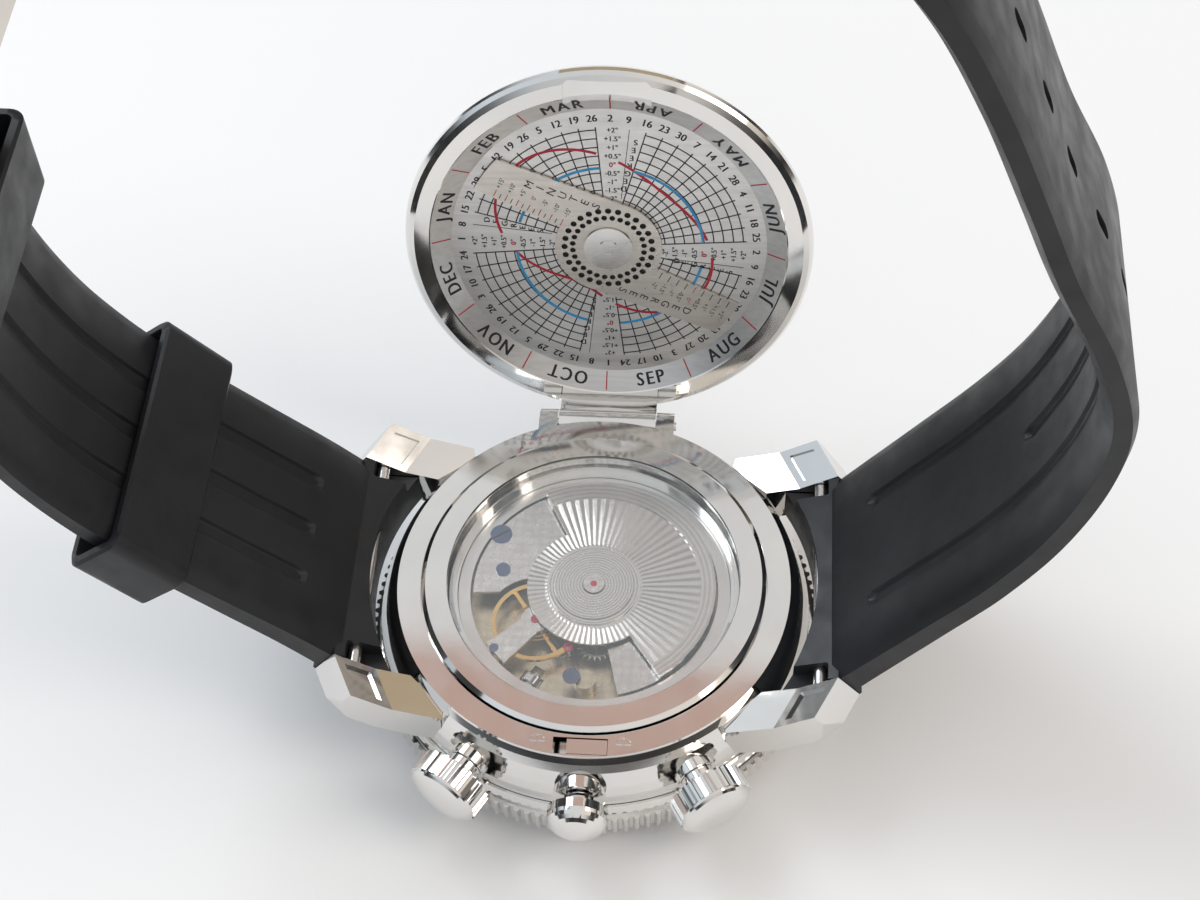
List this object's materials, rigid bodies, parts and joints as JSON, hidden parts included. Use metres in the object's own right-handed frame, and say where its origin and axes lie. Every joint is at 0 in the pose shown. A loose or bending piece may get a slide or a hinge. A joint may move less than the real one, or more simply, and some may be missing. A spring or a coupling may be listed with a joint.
{
  "type": "navigation wristwatch with hinged calculating cover",
  "caption": "Steel wristwatch lying face down on a rubber strap, with its hinged case-back cover open to show a rotary correction calculator and the self-winding movement.",
  "frame": {"origin": "centre of the front crystal's flat face, which the watch lies on", "axes": "-Z out of the front crystal, +Z towards the case back, +X along the 6 o'clock strap, -Y towards the crowns"},
  "size_m": [0.1026, 0.0625, 0.1125],
  "materials": {
    "polished_steel": "mirror polished stainless steel",
    "spring_steel": "turned steel",
    "sapphire": "flat anti-reflective sapphire",
    "seal": "matt black seal",
    "white_seal": "white nylon",
    "white_dial": "silvered opaline",
    "satin_silver": "satin silver with printed scales",
    "rule_finish": "satin champagne grey",
    "post_steel": "turned and polished",
    "brass_plate": "grained brass",
    "gold": "polished gilt brass",
    "rhodium": "rhodium plated with circular graining",
    "blued_steel": "heat-blued steel",
    "red_paint": "red lacquer",
    "ruby": "polished synthetic ruby",
    "rubber": "matt moulded rubber"
  },
  "bodies": {
    "case": {"case_middle": "polished_steel", "lugs": "polished_steel", "back_ring": "polished_steel", "display_ring": "polished_steel", "back_crystal": "sapphire", "back_gasket": "seal", "front_crystal": "sapphire", "front_gasket": "white_seal", "chapter_ring": "polished_steel", "dial": "white_dial", "dial_indexes": "polished_steel", "latch_screws": "polished_steel", "case_tubes": "polished_steel", "hinge_pin": "polished_steel", "movement_ring": "rhodium", "main_plate": "brass_plate", "barrel_bridge": "rhodium", "automatic_bridge": "rhodium", "balance_cock": "rhodium", "movement_screws": "blued_steel", "jewels": "ruby", "rotor_axle": "rhodium", "lug_spring_bars": "spring_steel", "button_spring": "spring_steel"},
    "bezel": {"bezel": "polished_steel"},
    "cover": {"lid_shell": "polished_steel", "month_ring": "satin_silver", "grid_disc": "satin_silver", "rule_post": "post_steel"},
    "rule": {"rule": "rule_finish"},
    "button": {"release_button": "polished_steel"},
    "latch": {"latch_bolt": "polished_steel"},
    "upper_winding": {"upper_pinion": "spring_steel"},
    "upper_crown": {"upper_crown": "polished_steel", "upper_stem": "spring_steel"},
    "lower_winding": {"lower_pinion": "spring_steel"},
    "lower_crown": {"lower_crown": "polished_steel", "lower_stem": "spring_steel"},
    "rotor": {"rotor_hub": "rhodium", "rotor_plate": "rhodium", "rotor_weight": "rhodium"},
    "barrel": {"barrel": "brass_plate"},
    "centre": {"centre_wheel": "gold", "minute_hand": "blued_steel"},
    "third": {"third_wheel": "gold"},
    "fourth": {"fourth_wheel": "gold", "seconds_hand": "blued_steel"},
    "escape": {"escape_wheel": "rhodium"},
    "pallets": {"pallet_fork": "rhodium"},
    "balance": {"balance_wheel": "gold"},
    "hour": {"hour_hand": "blued_steel"},
    "zone": {"zone_hand": "red_paint"},
    "strap_12": {"strap_12": "rubber", "buckle_bar": "spring_steel", "fixed_keeper": "rubber"},
    "strap_6": {"strap_6": "rubber"},
    "free_keeper": {"free_keeper": "rubber"},
    "buckle": {"buckle_frame": "polished_steel"},
    "tongue": {"buckle_tongue": "polished_steel"}
  },
  "joints": [
    {"name": "bezel_turn", "type": "hinge", "parent": "case", "child": "bezel", "pos_m": [0, 0, 0], "axis": [0, 0, 1], "continuous": true},
    {"name": "cover_hinge", "type": "hinge", "parent": "case", "child": "cover", "pos_m": [0, 0.02143, 0.0102], "axis": [1, 0, 0], "range_deg": [0, 104]},
    {"name": "rule_turn", "type": "hinge", "parent": "cover", "child": "rule", "pos_m": [0, 0.02933, 0.03032], "axis": [0, 0.9703, -0.2419], "continuous": true},
    {"name": "button_press", "type": "slide", "parent": "case", "child": "button", "axis": [0, 1, 0], "range_m": [0, 0.00075], "stiffness_N_per_m": 400, "springref_m": -0.0005, "deforming": ["button_spring"]},
    {"name": "latch_slide", "type": "slide", "parent": "case", "child": "latch", "axis": [-1, 0, 0], "range_m": [0, 0.00095]},
    {"name": "upper_wind", "type": "hinge", "parent": "case", "child": "upper_winding", "pos_m": [0, 0, 0.0079], "axis": [-0.5075, -0.8616, 0], "continuous": true},
    {"name": "upper_pull", "type": "slide", "parent": "upper_winding", "child": "upper_crown", "axis": [-0.5075, -0.8616, 0], "range_m": [0, 0.0012]},
    {"name": "lower_wind", "type": "hinge", "parent": "case", "child": "lower_winding", "pos_m": [0, 0, 0.0079], "axis": [0.5075, -0.8616, 0], "continuous": true},
    {"name": "lower_pull", "type": "slide", "parent": "lower_winding", "child": "lower_crown", "axis": [0.5075, -0.8616, 0], "range_m": [0, 0.0012]},
    {"name": "rotor_turn", "type": "hinge", "parent": "case", "child": "rotor", "pos_m": [0, 0, 0.011], "axis": [0, 0, 1], "continuous": true},
    {"name": "seconds_turn", "type": "hinge", "parent": "case", "child": "fourth", "pos_m": [0, 0, 0.009], "axis": [0, 0, -1], "continuous": true},
    {"name": "third_turn", "type": "hinge", "parent": "case", "child": "third", "pos_m": [0.0046, -0.0036, 0.009], "axis": [0, 0, -1], "continuous": true},
    {"name": "minute_turn", "type": "hinge", "parent": "case", "child": "centre", "pos_m": [0, 0, 0.008], "axis": [0, 0, -1], "continuous": true},
    {"name": "hour_turn", "type": "hinge", "parent": "case", "child": "hour", "pos_m": [0, 0, 0.006], "axis": [0, 0, -1], "continuous": true},
    {"name": "zone_turn", "type": "hinge", "parent": "case", "child": "zone", "pos_m": [0, 0, 0.006], "axis": [0, 0, -1], "continuous": true},
    {"name": "barrel_turn", "type": "hinge", "parent": "case", "child": "barrel", "pos_m": [0.0034, 0.0064, 0.009], "axis": [0, 0, -1], "continuous": true},
    {"name": "escape_turn", "type": "hinge", "parent": "case", "child": "escape", "pos_m": [0.0006, -0.0061, 0.009], "axis": [0, 0, -1], "continuous": true},
    {"name": "pallet_swing", "type": "hinge", "parent": "case", "child": "pallets", "pos_m": [-0.0022, -0.0069, 0.009], "axis": [0, 0, 1], "range_deg": [-5, 5]},
    {"name": "balance_swing", "type": "hinge", "parent": "case", "child": "balance", "pos_m": [-0.0058, -0.0039, 0.009], "axis": [0, 0, 1], "range_deg": [-270, 270], "stiffness_Nm_per_rad": 0.000001},
    {"name": "strap_12_pivot", "type": "hinge", "parent": "case", "child": "strap_12", "pos_m": [-0.0233, 0, 0.0132], "axis": [0, 1, 0], "range_deg": [0, 3]},
    {"name": "strap_6_pivot", "type": "hinge", "parent": "case", "child": "strap_6", "pos_m": [0.0233, 0, 0.0132], "axis": [0, -1, 0], "range_deg": [0, 3]},
    {"name": "free_keeper_slide", "type": "slide", "parent": "strap_12", "child": "free_keeper", "axis": [-0.6402, 0, 0.7682], "range_m": [-0.001, 0.001]},
    {"name": "buckle_hinge", "type": "hinge", "parent": "strap_12", "child": "buckle", "pos_m": [-0.04785, 0, 0.07891], "axis": [0, 1, 0], "range_deg": [0, 40]},
    {"name": "tongue_hinge", "type": "hinge", "parent": "strap_12", "child": "tongue", "pos_m": [-0.04785, 0, 0.07891], "axis": [0, 1, 0], "range_deg": [-60, 0]}
  ],
  "couplings": [
    {"joint": "latch_slide", "follows": "button_press", "ratio": 1.25},
    {"joint": "third_turn", "follows": "seconds_turn", "ratio": -0.13333},
    {"joint": "minute_turn", "follows": "seconds_turn", "ratio": 0.016667},
    {"joint": "hour_turn", "follows": "seconds_turn", "ratio": 0.0013889},
    {"joint": "zone_turn", "follows": "seconds_turn", "ratio": 0.00069444},
    {"joint": "barrel_turn", "follows": "seconds_turn", "ratio": -0.0020833},
    {"joint": "escape_turn", "follows": "seconds_turn", "ratio": -12}
  ]
}
